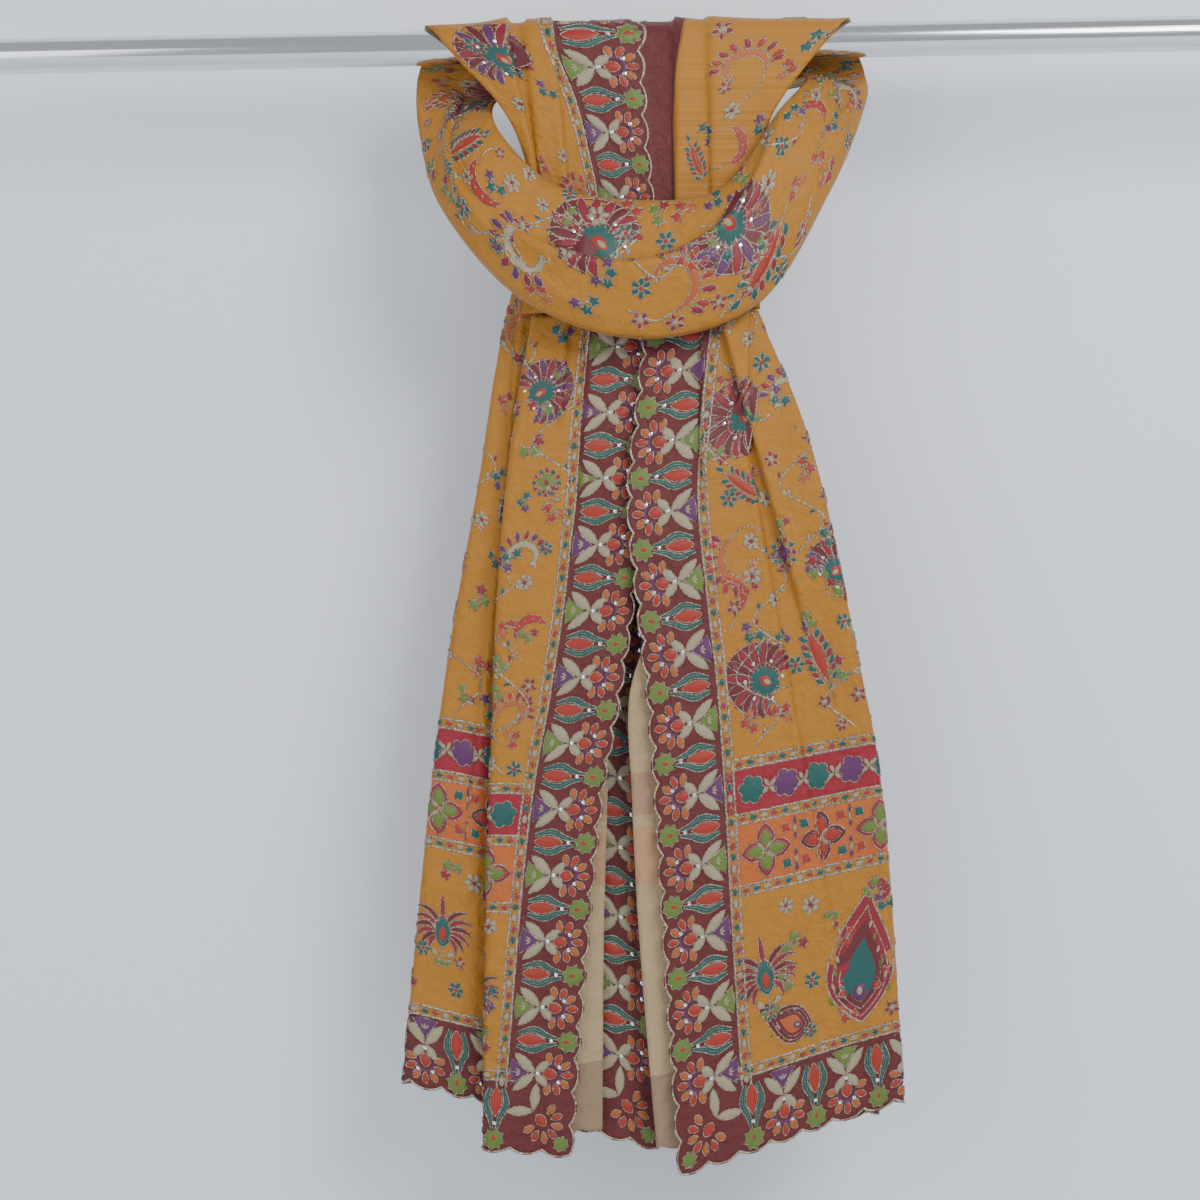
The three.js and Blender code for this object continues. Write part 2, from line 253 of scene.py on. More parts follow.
def tail_points(spec, a, b):
    """A hanging end: front layer from its free edge, half a turn at the outer fold, and the layer
    that comes back behind. b goes from the top to the hem."""
    rows = spec["rows"]
    top, level = rows["z"][0], rows["z"][-1]
    share = 0.5 - TURN_SHARE / 2
    front, back = a < share, a > 1 - share
    across = np.where(front, a / share, np.where(back, (1 - a) / share, 1))
    nominal = top + b * (level - top)
    edge, fold, end = (column(rows, "z", key, nominal) for key in ("edge", "fold", "back"))
    radius = spec["spacing"] / 2
    way = np.sign(fold - edge)
    centre = fold - way * radius
    start = np.where(back, end, edge)
    turn = math.pi * np.clip((a - share) / TURN_SHARE, 0, 1)
    bent = ~(front | back)
    x = np.where(bent, centre + way * radius * np.sin(turn), start + across * (centre - start))
    deep = np.where(bent, radius * (1 - np.cos(turn)), np.where(back, spec["spacing"], 0))
    hem_end = np.where(back, spec["hem"][2], spec["hem"][0])
    hem = spec["hem"][1] + (hem_end - spec["hem"][1]) * (1 - across)
    z = top + b * (hem - top)
    settle = smooth((-217 - nominal) / 200)
    layer = spec["waist"] + (spec["layer"] - spec["waist"]) * settle
    place = (x - edge) / (fold - edge)
    out = 0
    for top_x, low_x, height, reach, side, start_z, end_z in spec["creases"]:
        run = np.clip((start_z - z) / (start_z - end_z), 0, 1)
        line = top_x + (low_x - top_x) * run
        out = out + height * smooth((1 - run) * 3) * pleat((x - line) * side, reach)
    for count, depth, shift in spec["waves"]:
        out = out + settle * depth * np.sin(count * math.pi * place + shift)
    out = out + 0.8 * ripple(x, 0.4 * z, 30, int(abs(spec["layer"])))
    return np.stack([x + SWAY * np.minimum(z, 0), layer + deep - out, z], -1)


class Sheet:
    """A stretch of cloth as a fine lattice, read by its own sizes u and v. Each row is respaced to
    equal lengths, so u is a length measured over the folds from the row's start."""

    def __init__(self, points, length, front, anchored=True):
        steps = np.linalg.norm(np.diff(points, axis=1), axis=2)
        run = np.concatenate([np.zeros((len(points), 1)), np.cumsum(steps, axis=1)], axis=1)
        even = np.linspace(0, 1, points.shape[1])
        respaced = [
            np.stack([np.interp(even * r[-1], r, p[:, k]) for k in range(3)], -1)
            for r, p in zip(run, points)
        ]
        self.points = np.array(respaced)
        self.widths = run[:, -1] if anchored else np.full(len(points), run[:, -1].mean())
        self.length = length
        facing = np.cross(np.gradient(self.points, axis=1), np.gradient(self.points, axis=0))
        facing /= np.linalg.norm(facing, axis=2, keepdims=True) + 1e-9
        sample = facing[facing.shape[0] // 2, front]
        self.facing = -facing if sample[1] > 0 else facing

    def width_at(self, v):
        """The cloth's width at v. Row 0 of the lattice is the top, at v = length."""
        row = (1 - np.clip(v / self.length, 0, 1)) * (len(self.widths) - 1)
        return np.interp(row, np.arange(len(self.widths)), self.widths)

    def place(self, u, v, lift):
        """Points of the frame at cloth sizes u and v, lifted off the right side."""
        row = (1 - np.clip(v / self.length, 0, 1)) * (self.points.shape[0] - 1)
        q = np.clip(u / self.width_at(v), 0, 1) * (self.points.shape[1] - 1)
        i = np.minimum(row.astype(int), self.points.shape[0] - 2)
        j = np.minimum(q.astype(int), self.points.shape[1] - 2)
        s, t = (row - i)[:, None], (q - j)[:, None]

        def blend(grid):
            low = grid[i, j] * (1 - t) + grid[i, j + 1] * t
            high = grid[i + 1, j] * (1 - t) + grid[i + 1, j + 1] * t
            return low * (1 - s) + high * s

        facing = blend(self.facing)
        facing /= np.linalg.norm(facing, axis=1, keepdims=True) + 1e-9
        return blend(self.points) + facing * np.asarray(lift)[:, None]


# --------------------------------------------------------------------------- colours


DYE_DEPTH = 0.6


def dye(red, green, blue):
    """A dyed colour, from its 0 to 255 display values to the deeper linear ones shaders use."""
    shown = np.array([red, green, blue]) / 255
    linear = np.where(shown < 0.04045, shown / 12.92, ((shown + 0.055) / 1.055) ** 2.4)
    return tuple(linear * DYE_DEPTH) + (1.0,)


CRIMSON = dye(172, 22, 44)
SCARLET = dye(204, 52, 24)
ORANGE = dye(220, 110, 34)
TEAL = dye(16, 106, 98)
GREEN = dye(122, 152, 52)
PURPLE = dye(116, 42, 112)
CREAM = dye(204, 188, 150)
WINE = dye(126, 18, 32)
ZARI = dye(176, 156, 126)

# --------------------------------------------------------------------------- motifs

SCALLOP_PITCH = 26.0
SCALLOP_DEPTH = 4.5
BORDER = 57.0
BAND = 9.0
UNIT = 2 * SCALLOP_PITCH
STAR_STRIPE = (199.0, 243.0)
ROSE_STRIPE = (252.0, 284.0)
TOP_BAND = 284.0


def turned(points, angle):
    c, s = math.cos(angle), math.sin(angle)
    return np.stack([points[:, 0] * c - points[:, 1] * s, points[:, 0] * s + points[:, 1] * c], -1)


def drop(length, width, belly=0.62, n=14):
    """A petal outline from its root at 0, 0 up to 0, length. belly is where it is widest."""
    t = np.linspace(0, 2 * math.pi, n, endpoint=False)
    y = (1 - np.cos(t)) / 2
    skew = math.log(0.5) / math.log(belly)
    return np.stack([width / 2 * np.sin(t) * np.abs(np.sin(math.pi * y**skew)) ** 0.25, length * y], -1)


def leaf(length, width, n=12):
    """A pointed leaf from 0, 0 to 0, length: two arcs that meet in points."""
    t = np.linspace(0, 1, n // 2 + 1)
    side = width / 2 * np.sin(math.pi * t) ** 0.85
    right = np.stack([side, length * t], -1)
    left = np.stack([-side, length * t], -1)[1:-1][::-1]
    return np.concatenate([right, left])


def star(points, outer, inner, turn=0.0, soft=False):
    """A star or rosette outline. A soft one has round lobes."""
    if soft:
        t = np.linspace(0, 2 * math.pi, points * 4, endpoint=False)
        r = inner + (outer - inner) * np.abs(np.cos(points * t / 2)) ** 0.7
    else:
        t = np.linspace(0, 2 * math.pi, points * 2, endpoint=False)
        r = np.where(np.arange(points * 2) % 2 == 0, outer, inner)
    return np.stack([r * np.sin(t + turn), r * np.cos(t + turn)], -1)


def curve(*points, n=18):
    """A smooth line through a few given points."""
    p = np.array(points, float)
    rows = {"t": np.arange(len(p)), "x": p[:, 0], "y": p[:, 1]}
    at = np.linspace(0, len(p) - 1, n)
    return np.stack([column(rows, "t", "x", at), column(rows, "t", "y", at)], -1)


def spiral(start, sweep, radius, shrink, n=20):
    """A line whose radius shrinks as it turns round 0, 0."""
    t = np.linspace(0, 1, n)
    r = radius * (1 - shrink * t)
    return np.stack([r * np.cos(start + sweep * t), r * np.sin(start + sweep * t)], -1)


class Motif:
    """A worked figure in the cloth's own plane: filled shapes and metal-thread lines."""

    def __init__(self):
        self.parts = {"fill": [], "zari": [], "sequin": []}

    def _add(self, kind, corners, faces, colour):
        self.parts[kind].append((corners, faces, np.tile(colour, (len(corners), 1))))

    def blob(self, outline, colour, at=(0, 0), turn=0.0, lift=0.7, edge=0.9):
        """A filled shape: a ring at its outline and a raised ring inside it."""
        p = turned(np.asarray(outline), turn) + np.asarray(at)
        n = len(p)
        centre = p.mean(0)
        corners = np.concatenate([
            np.c_[p, np.zeros(n)], np.c_[centre + (p - centre) * 0.62, np.full(n, lift)],
            [[*centre, lift]],
        ])
        i, j = np.arange(n), (np.arange(n) + 1) % n
        faces = np.concatenate([
            np.c_[i, j, n + j], np.c_[i, n + j, n + i], np.c_[n + i, n + j, np.full(n, 2 * n)],
        ])
        self._add("fill", corners, faces, colour)
        if edge:
            self.line(np.concatenate([p, p[:1]]), edge)

    def ribbon(self, kind, spine, half, rise, colour):
        """A strip along a line: two edges and a raised middle."""
        way = np.gradient(spine, axis=0)
        way /= np.linalg.norm(way, axis=1, keepdims=True) + 1e-9
        side = np.stack([-way[:, 1], way[:, 0]], -1) * np.asarray(half).reshape(-1, 1)
        n = len(spine)
        rows = [
            np.c_[spine + side, np.zeros(n)], np.c_[spine, np.broadcast_to(rise, n)],
            np.c_[spine - side, np.zeros(n)],
        ]
        i = np.arange(n - 1)
        faces = [
            np.concatenate([
                np.c_[k * n + i, (k + 1) * n + i, (k + 1) * n + i + 1],
                np.c_[k * n + i, (k + 1) * n + i + 1, k * n + i + 1],
            ])
            for k in (0, 1)
        ]
        self._add(kind, np.concatenate(rows), np.concatenate(faces), colour)

    def sequin(self, *at, radius=1.5):
        """A small flat disc, a little proud of the thread."""
        n = 8
        t = np.linspace(0, 2 * math.pi, n, endpoint=False)
        rim = np.c_[at[0] + radius * np.cos(t), at[1] + radius * np.sin(t), np.full(n, 1.3)]
        i = np.arange(n)
        faces = np.c_[i, (i + 1) % n, np.full(n, n)]
        self._add("sequin", np.r_[rim, [[at[0], at[1], 1.7]]], faces, CREAM)

    def line(self, points, width=1.0, colour=ZARI, rise=0.85):
        self.ribbon("zari", points, np.full(len(points), width / 2), rise, colour)

    def strip(self, points, widths, colour, edged=True):
        """A filled band of changing width along a line, with metal thread along both sides."""
        points = np.asarray(points)
        half = np.interp(np.linspace(0, 1, len(points)), np.linspace(0, 1, len(widths)), widths) / 2
        self.ribbon("fill", points, half, 0.6, colour)
        if edged:
            way = np.gradient(points, axis=0)
            way /= np.linalg.norm(way, axis=1, keepdims=True) + 1e-9
            side = np.stack([-way[:, 1], way[:, 0]], -1) * half[:, None]
            self.line(points + side, 0.9)
            self.line(points - side, 0.9)

    def fan(self, count, spread, radius, length, width, colours, at=(0, 0), turn=0.0, shape=drop):
        """Petals set round an arc, pointing outward, with 0 turn upward."""
        for k, angle in enumerate(np.linspace(-spread / 2, spread / 2, count) + turn):
            root = np.array([-math.sin(angle), math.cos(angle)]) * radius + np.asarray(at)
            self.blob(shape(length, width), colours[k % len(colours)], root, angle)

    def merged(self):
        """Each kind's corners, faces and colours as one set of arrays."""
        result = {}
        for kind, items in self.parts.items():
            if items:
                starts = np.cumsum([0] + [len(c) for c, _, _ in items[:-1]])
                result[kind] = (
                    np.concatenate([c for c, _, _ in items]),
                    np.concatenate([f + s for (_, f, _), s in zip(items, starts)]),
                    np.concatenate([k for _, _, k in items]),
                )
        return result


def zari_band(motif, length=UNIT, y=0.0):
    """Two lines of metal thread with small coloured lozenges between them."""
    for level in (0.9, BAND - 0.9):
        x = np.linspace(0, length, 14)
        wobble = 0.25 * np.sin(x * 0.9 + level)
        motif.line(np.stack([x, y + level + wobble], -1), 1.9, rise=1.0)
    lozenge = np.array([(-3.4, 0), (-1.2, 1.9), (1.2, 1.9), (3.4, 0), (1.2, -1.9), (-1.2, -1.9)])
    count = int(round(length / 8.67))
    for k in range(count):
        x = (k + 0.5) * length / count
        motif.blob(lozenge, (SCARLET, TEAL, CREAM)[k % 3], (x, y + BAND / 2), 0, 0.5, 0.7)


def border_unit(corner_colour):
    """One repeat of the border: a bulb with a leaf star, a fan flower and a corner triangle. x runs
    along the edge and y in from it."""
    m = Motif()
    x = 13.0
    for side in (-1, 1):
        spine = curve((x + side * 1.8, 19), (x + side * 4.2, 29), (x + side * 8.2, 39), (x + side * 5, 52))
        m.strip(spine, (1.6, 3.4, 4.8, 4.2, 2.2), TEAL)
        m.line(spine[3:-3], 0.7)
    m.blob(drop(23, 9.5, 0.6), SCARLET, (x, 29), 0, 0.8)
    m.blob(star(8, 9.0, 6.6, soft=False), GREEN, (x, 11), 0.2)
    m.blob(drop(7.5, 4.2), SCARLET, (x, 8), 0, 0.9, 0.8)
    x = 39.0
    for side in (-1, 1):
        m.blob(leaf(23, 7.5), CREAM, (x, 35.5), -side * 0.72, 0.8)
        m.blob(leaf(15, 6.5), CREAM, (x, 35.5), math.pi + side * 0.75, 0.8)
    m.fan(7, 3.6, 7.5, 9.5, 5.6, (ORANGE, SCARLET), (x, 22), math.pi)
    arc = spiral(math.pi * 0.95, math.pi * 1.1, 7.2, 0.0, 12) + (x, 22)
    m.strip(arc, (1.6, 2.4, 2.4, 1.6), PURPLE, edged=False)
    m.blob(drop(11, 8.5, 0.42), SCARLET, (x, 29), math.pi, 1.0)
    m.blob(np.array([(x, 40.5), (x + 10.5, 55.2), (x, 55.8), (x - 10.5, 55.2)]), corner_colour, edge=0.9)
    for angle in (-0.6, 0, 0.6):
        m.blob(leaf(6.5, 2.2, 8), CREAM, (x, 46.5), angle, 0.9, 0)
    zari_band(m, UNIT, BORDER)
    x = np.linspace(0, UNIT, 29)
    m.line(np.stack([x, notch(x) + 0.9], -1), 1.7, CREAM, 1.0)
    for place in ((13, 24), (33, 16), (45, 16), (39, 33)):
        m.sequin(*place)
    return m


def corner_unit():
    """The border's corner at 0, 0: edging thread along both edges and a fan flower set slantwise."""
    m = Motif()
    x = np.linspace(0, UNIT, 29)
    m.line(np.stack([x, notch(x) + 0.9], -1), 1.7, CREAM, 1.0)
    m.line(np.stack([notch(x) + 0.9, x], -1), 1.7, CREAM, 1.0)
    m.fan(7, 3.6, 7.5, 9.5, 5.6, (ORANGE, SCARLET), (27, 27), 0.75 * math.pi)
    m.blob(drop(11, 8.5, 0.42), SCARLET, (32, 32), 0.75 * math.pi, 1.0)
    for side in (-1, 1):
        m.blob(leaf(22, 7.5), CREAM, (35, 35), side * 0.85 - 0.25 * math.pi, 0.8)
    m.blob(star(8, 6.5, 4.8), GREEN, (11, 11), 0.2)
    return m


def notch(x):
    """How far in the scalloped edge lies: round bumps that meet in points."""
    t = (np.asarray(x) / SCALLOP_PITCH) % 1.0
    return SCALLOP_DEPTH * np.abs(2 * t - 1) ** 2.2


def feather_spine(angle, bend, reach, t):
    """A feather's middle line, which bends further from its first angle the further out it goes."""
    way = angle + bend * t**2
    return np.stack([-np.sin(way) * reach * t, np.cos(way) * reach * t], -1)


def palmette(feather=CRIMSON, second=WINE, tip=CRIMSON):
    """A fan of curled feathers round a heart, root at 0, 0, opening upward."""
    m = Motif()
    t = np.linspace(-1.95, 1.95, 21)
    r = 40 - 6 * np.abs(t)
    m.blob(np.r_[np.c_[-np.sin(t) * r, np.cos(t) * r], [[0, -8]]], second, lift=0.3, edge=1.1)
    for k in range(6):
        m.sequin(17 * math.sin(k - 2.5), 4 + 17 * math.cos(k - 2.5))
    for k, angle in enumerate(np.linspace(-1.75, 1.75, 15)):
        reach = 40 - 7 * abs(angle)
        bend = 0.42 * np.sign(angle) * min(1, abs(angle))
        t = np.linspace(0.3, 1, 9)
        spine = feather_spine(angle, bend, reach, t)
        m.strip(spine, (2.2, 4.6, 6.8, 7.2, 3.4), (feather, second)[k % 2] if k % 5 else tip)
    m.blob(star(6, 15, 12.5, soft=True), TEAL, (0, 4), 0, 1.1, 1.1)
    m.blob(drop(17, 12, 0.55), SCARLET, (0, -6), 0, 1.5, 1.0)
    m.blob(drop(10, 6, 0.5), CREAM, (0, -4), 0, 1.9, 0.8)
    m.line(curve((0, -8), (2, -16), (8, -22)), 1.3)
    return m


def curl(arm=ORANGE, petals=(CRIMSON, SCARLET), tuft=9):
    """A scroll: a tapering arm that winds in, with petals set along its back."""
    m = Motif()
    arm_line = spiral(-0.6, 4.6, 20, 0.62, 26)
    m.strip(arm_line, (2.0, 5.5, 6.5, 5.0, 3.6, 2.6), arm)
    hook = arm_line[-1] + spiral(0.5, 3.6, 4.0, 0.7, 10) - spiral(0.5, 3.6, 4.0, 0.7, 10)[0]
    m.line(hook, 1.4, CREAM)
    for k in range(tuft):
        i = 2 + int(k * 17 / tuft)
        way = arm_line[i] / np.linalg.norm(arm_line[i])
        lean = math.atan2(-way[0], way[1]) + 0.35
        m.blob(drop(10.5 - 0.35 * abs(k - 4), 5.2), petals[k % len(petals)], arm_line[i] + way * 3.4, lean)
    m.line(curve((arm_line[0][0], arm_line[0][1]), (12, -24), (-4, -31)), 1.3)
    return m


def crescent(colour=SCARLET):
    """A half-moon petal with a dotted middle."""
    m = Motif()
    m.strip(spiral(-1.4, 2.9, 16, 0.0, 18), (0.6, 7.5, 9.5, 8.0, 0.8), colour)
    for angle in np.linspace(-0.9, 1.0, 5):
        m.blob(star(4, 1.3, 0.9), CREAM, (15.6 * math.cos(angle), 15.6 * math.sin(angle)), 0, 0.9, 0)
    m.line(curve((-0.8, -15.8), (-9, -20), (-20, -19)), 1.1)
    return m


def spray(length=56.0, colours=(TEAL, CRIMSON), heart=SCARLET):
    """A feathered leaf: pairs of small leaves up both sides of a middle one."""
    m = Motif()
    m.blob(leaf(length * 0.82, 9, 16), heart, (0, length * 0.12), 0, 0.9)
    m.line(curve((0, -6), (0, length * 0.5), (0, length * 0.95), n=8), 0.9)
    for k in range(7):
        y = length * (0.14 + 0.105 * k)
        out = 4.4 * math.sin(math.pi * min(0.95, 0.16 + 0.115 * k)) + 1.2
        for side in (-1, 1):
            m.blob(drop(8.4, 4.4), colours[k % 2], (side * out, y), -side * 0.8)
    m.blob(drop(9, 4.6), colours[0], (0, length * 0.93), 0)
    return m


def small_flower(petal=TEAL, core=SCARLET, count=6, size=6.5):
    m = Motif()
    m.fan(count, 2 * math.pi * (1 - 1 / count), 1.6, size, size * 0.62, (petal,))
    m.blob(star(5, 2.6, 1.8), core, (0, 0), 0, 1.1, 0.7)
    return m


def bud_sprig(colours=(TEAL, PURPLE)):
    """A forked stem with three leaf-like buds."""
    m = Motif()
    m.line(curve((0, -16), (-1, -8), (0, 0)), 1.0)
    m.line(curve((-1, -8), (5, -4), (9, -3), n=8), 0.9)
    for k, (place, angle) in enumerate((((0, 0), 0.2), ((9, -3), -1.2), ((-4, -9), 1.3))):
        m.blob(star(5, 5.4, 3.2, angle), colours[k % 2], place)
    return m


def square_flower(ground=PURPLE, heart=SCARLET, rim=(TEAL, CRIMSON)):
    """A lozenge flower in a ring of short beads."""
    m = Motif()
    for k, angle in enumerate(np.linspace(0, 2 * math.pi, 12, endpoint=False)):
        m.blob(drop(5.2, 4.2), rim[k % 2], (9.6 * math.sin(angle), 9.6 * math.cos(angle)), -angle)
    m.blob(star(4, 9.6, 7.6, soft=True), ground, (0, 0), 0, 0.9)
    m.blob(drop(9, 6.5, 0.5), heart, (0, -4.2), 0, 1.3)
    return m


def paisley(outer=CRIMSON, inner=TEAL, height=104.0):
    """A tall drop with a hooked tip, in three rings round a small fan flower."""
    m = Motif()
    t = np.linspace(0, 2 * math.pi, 40, endpoint=False)
    y = (1 - np.cos(t)) / 2
    width = np.sin(t) * np.sin(math.pi * y**0.62) ** 0.75
    hook = 13 * y**3
    shape = np.stack([width * 25 + hook, y * height * 0.86], -1)
    m.blob(shape, outer, lift=0.5, edge=1.4)
    for scale, colour, lift, low in ((0.82, WINE, 0.9, 4), (0.62, inner, 1.3, 9)):
        ring = shape * (scale, scale) + (0, low)
        m.blob(ring, colour, lift=lift, edge=1.2)
    tip = shape[20] + spiral(2.4, -4.2, 8, 0.6, 14) - spiral(2.4, -4.2, 8, 0.6, 14)[0]
    m.strip(tip, (7, 6, 5, 3), outer)
    m.fan(7, 3.4, 7, 8.5, 5.6, (SCARLET, CRIMSON), (0, 24), 0)
    m.blob(drop(15, 12, 0.45), PURPLE, (0, 14), 0, 2.0)
    m.blob(drop(9, 6, 0.5), CREAM, (0, 17), 0, 2.3)
    m.fan(6, 5.2, 1.4, 5.2, 3.2, (CREAM,), (1, 46))
    for k in range(6):
        for side in (-1, 1):
            place = (side * (19.5 - 1.9 * k), 16 + 9 * k)
            m.blob(leaf(6.5, 2.6, 8), (GREEN, CREAM)[k % 2], place, side * -0.35, 1.4, 0)
    return m


def cypress():
    """A small tree of curved crimson leaves round a teal heart, on a leafy foot."""
    m = Motif()
    for k, angle in enumerate(np.linspace(-2.0, 2.0, 13)):
        length = 33 - 6.5 * abs(angle)
        t = np.linspace(0.28, 1, 8)
        bend = 0.5 * np.sign(angle)
        spine = feather_spine(angle, bend, length, t)
        m.strip(spine, (1.4, 4.4, 4.0, 1.0), (CRIMSON, WINE)[k % 2])
    m.blob(drop(28, 16, 0.45), TEAL, (0, -12), 0, 1.0)
    m.blob(drop(17, 9, 0.45), SCARLET, (0, -9), 0, 1.5)
    m.line(curve((0, -12), (0, -20), (1, -30)), 1.3)
    for side in (-1, 1):
        m.blob(leaf(10, 4.5), GREEN, (0, -27), side * 1.2)
        m.blob(drop(7, 4.5), CREAM, (side * 4, -20), side * -0.9)
    return m


def quatrefoil(petals=GREEN, rim=CRIMSON):
    """A four-petalled star of the orange stripe, with a small fan flower at its middle; the small squares in
    its corners are worked by stripe_filler.
    """
    m = Motif()
    for angle in np.arange(4) * math.pi / 2:
        m.blob(leaf(20.5, 14.5, 14), rim, (0, 0), angle, 0.4, 1.0)
    for angle in np.arange(4) * math.pi / 2:
        m.blob(leaf(17.0, 9.8, 14), petals, (0, 0), angle, 0.9, 0.8)
    m.fan(6, 5.2, 1.0, 5.4, 3.4, (CREAM, SCARLET))
    return m


def stripe_filler():
    """What stands between two stars of the orange stripe: a leaf column and four squares."""
    m = Motif()
    for side in (-1, 1):
        for k in range(3):
            turn = 0 if side > 0 else math.pi
            m.blob(leaf(6.5, 2.8, 8), (PURPLE, CREAM)[k % 2], (0, side * (3 + 5.5 * k)), turn, 0.8, 0.6)
        for way in (-1, 1):
            square = np.array([(-3.2, -3.2), (3.2, -3.2), (3.2, 3.2), (-3.2, 3.2)])
            m.blob(square, (SCARLET, TEAL)[(side + way) // 2 % 2], (way * 7.5, side * 13.5), 0.1)
    return m


def rosette_unit():
    """A repeat of the red stripe: a teal rosette, a sprig, a purple rosette, a sprig."""
    m = Motif()
    for x, colour in ((13, TEAL), (41, PURPLE)):
        m.blob(star(6, 11, 8.4, soft=True), colour, (x, 0), 0.3, 0.9)
        m.fan(6, 5.2, 0.6, 4.4, 2.4, (CREAM,), (x, 0))
    for x in (27, 55):
        m.line(curve((x - 7, -7), (x - 1, 0), (x + 6, 7), n=10), 0.9)
        for angle in (0.5, 2.2, 3.9, 5.4):
            m.blob(leaf(7.5, 3.0, 8), CREAM, (x, 0), angle, 0.8, 0.6)
    return m


def vine(*points):
    """A stem of metal thread with small leaves on alternate sides."""
    m = Motif()
    spine = curve(*points, n=10 * len(points))
    m.line(spine, 1.5)
    for k in range(4, len(spine) - 3, 6):
        way = spine[k + 1] - spine[k - 1]
        side = (-1) ** (k // 6)
        angle = math.atan2(-way[0], way[1]) + side * 0.9
        m.blob(leaf(6.0, 2.6, 8), (CREAM, CRIMSON, TEAL)[k // 6 % 3], spine[k], angle, 0.7, 0.6)
    return m


MOTIFS = {
    "palmette": palmette(),
    "violet_palmette": palmette(PURPLE, WINE, CRIMSON),
    "curl": curl(),
    "cream_curl": curl(CREAM, (PURPLE, CRIMSON)),
    "crescent": crescent(),
    "spray": spray(),
    "flower": small_flower(),
    "pale_flower": small_flower(CREAM, CRIMSON),
    "red_flower": small_flower(CRIMSON, CREAM, 5, 5.5),
    "sprig": bud_sprig(),
    "red_sprig": bud_sprig((SCARLET, ORANGE)),
    "green_sprig": bud_sprig((GREEN, CRIMSON)),
    "square": square_flower(),
    "green_square": square_flower(GREEN, CRIMSON, (CRIMSON, TEAL)),
    "paisley": paisley(),
    "low_paisley": paisley(WINE, ORANGE, 84),
    "cypress": cypress(),
    "quatrefoil": quatrefoil(),
    "red_quatrefoil": quatrefoil(SCARLET, WINE),
    "stripe_filler": stripe_filler(),
    "rosettes": rosette_unit(),
    "border_a": border_unit(PURPLE),
    "border_b": border_unit(GREEN),
    "corner": corner_unit(),
    "band": Motif(),
}
zari_band(MOTIFS["band"], UNIT, 0)
MERGED = {name: motif.merged() for name, motif in MOTIFS.items()}

CLOTH_THICKNESS = 0.9
STITCH_GAP = 0.12


class Needlework:
    """Gathers the worked motifs of one sheet: fills, metal thread and sequins."""

    def __init__(self, sheet, keep):
        self.sheet, self.keep = sheet, keep
        self.made = {"fill": [], "zari": [], "sequin": []}

    def work(self, name, u, v, turn=0.0, scale=1.0):
        """Works one motif at u, v: a name from MOTIFS, or a Motif made for this one place."""
        merged = MERGED[name] if isinstance(name, str) else name.merged()
        for kind, (corners, faces, colours) in merged.items():
            flat = turned(corners[:, :2] * scale, turn) + (u, v)
            inside = self.keep(flat[:, 0], flat[:, 1], self.sheet)
            if not inside.any():
                continue
            lift = CLOTH_THICKNESS / 2 + STITCH_GAP + corners[:, 2] * min(scale, 1.0)
            placed = self.sheet.place(flat[:, 0], flat[:, 1], lift)
            kept = faces[inside[faces].all(1)]
            self.made[kind].append((placed, kept, colours))


def build_mesh(name, corners, faces, material, colours=None):
    """A mesh object in metres from whole arrays, with corners that no face uses left out."""
    used = np.unique(faces)
    place = np.zeros(len(corners), int)
    place[used] = np.arange(len(used))
    corners, faces = corners[used] * MM, place[faces]
    mesh = bpy.data.meshes.new(name)
    mesh.vertices.add(len(corners))
    mesh.vertices.foreach_set("co", corners.astype(np.float32).ravel())
    mesh.loops.add(faces.size)
    mesh.loops.foreach_set("vertex_index", faces.astype(np.int32).ravel())
    mesh.polygons.add(len(faces))
    sides = faces.shape[1]
    mesh.polygons.foreach_set("loop_start", np.arange(0, faces.size, sides, dtype=np.int32))
    mesh.polygons.foreach_set("loop_total", np.full(len(faces), sides, dtype=np.int32))
    mesh.update(calc_edges=True)
    mesh.polygons.foreach_set("use_smooth", np.ones(len(faces), bool))
    if colours is not None:
        layer = mesh.color_attributes.new("thread_colour", "FLOAT_COLOR", "POINT")
        layer.data.foreach_set("color", colours[used].astype(np.float32).ravel())
    mesh.materials.append(material)
    made = bpy.data.objects.new(name, mesh)
    bpy.context.scene.collection.objects.link(made)
    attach(made, "root")
    return made


# --------------------------------------------------------------------------- materials


class Nodes:
    """Short calls for wiring one material's or one group's nodes."""

    def __init__(self, tree):
        self.tree = tree

    def add(self, kind, inputs=(), **settings):
        node = self.tree.nodes.new(kind)
        for key, value in settings.items():
            setattr(node, key, value)
        for key, value in dict(inputs).items():
            if isinstance(value, bpy.types.NodeSocket):
                self.tree.links.new(value, node.inputs[key])
            else:
                node.inputs[key].default_value = value
        return node

    def maths(self, operation, first, second=0.0):
        return self.add("ShaderNodeMath", {0: first, 1: second}, operation=operation).outputs[0]

    def mix(self, share, first, second):
        node = self.add("ShaderNodeMix", data_type="RGBA")
        for key, value in ((0, share), (6, first), (7, second)):
            if isinstance(value, bpy.types.NodeSocket):
                self.tree.links.new(value, node.inputs[key])
            else:
                node.inputs[key].default_value = value
        return node.outputs[2]


def new_material(name, roughness, **sockets):
    made = bpy.data.materials.new(name)
    made.use_nodes = True
    shader = made.node_tree.nodes["Principled BSDF"]
    shader.inputs["Roughness"].default_value = roughness
    for key, value in sockets.items():
        shader.inputs[key.replace("_", " ")].default_value = value
    return made, shader, Nodes(made.node_tree)


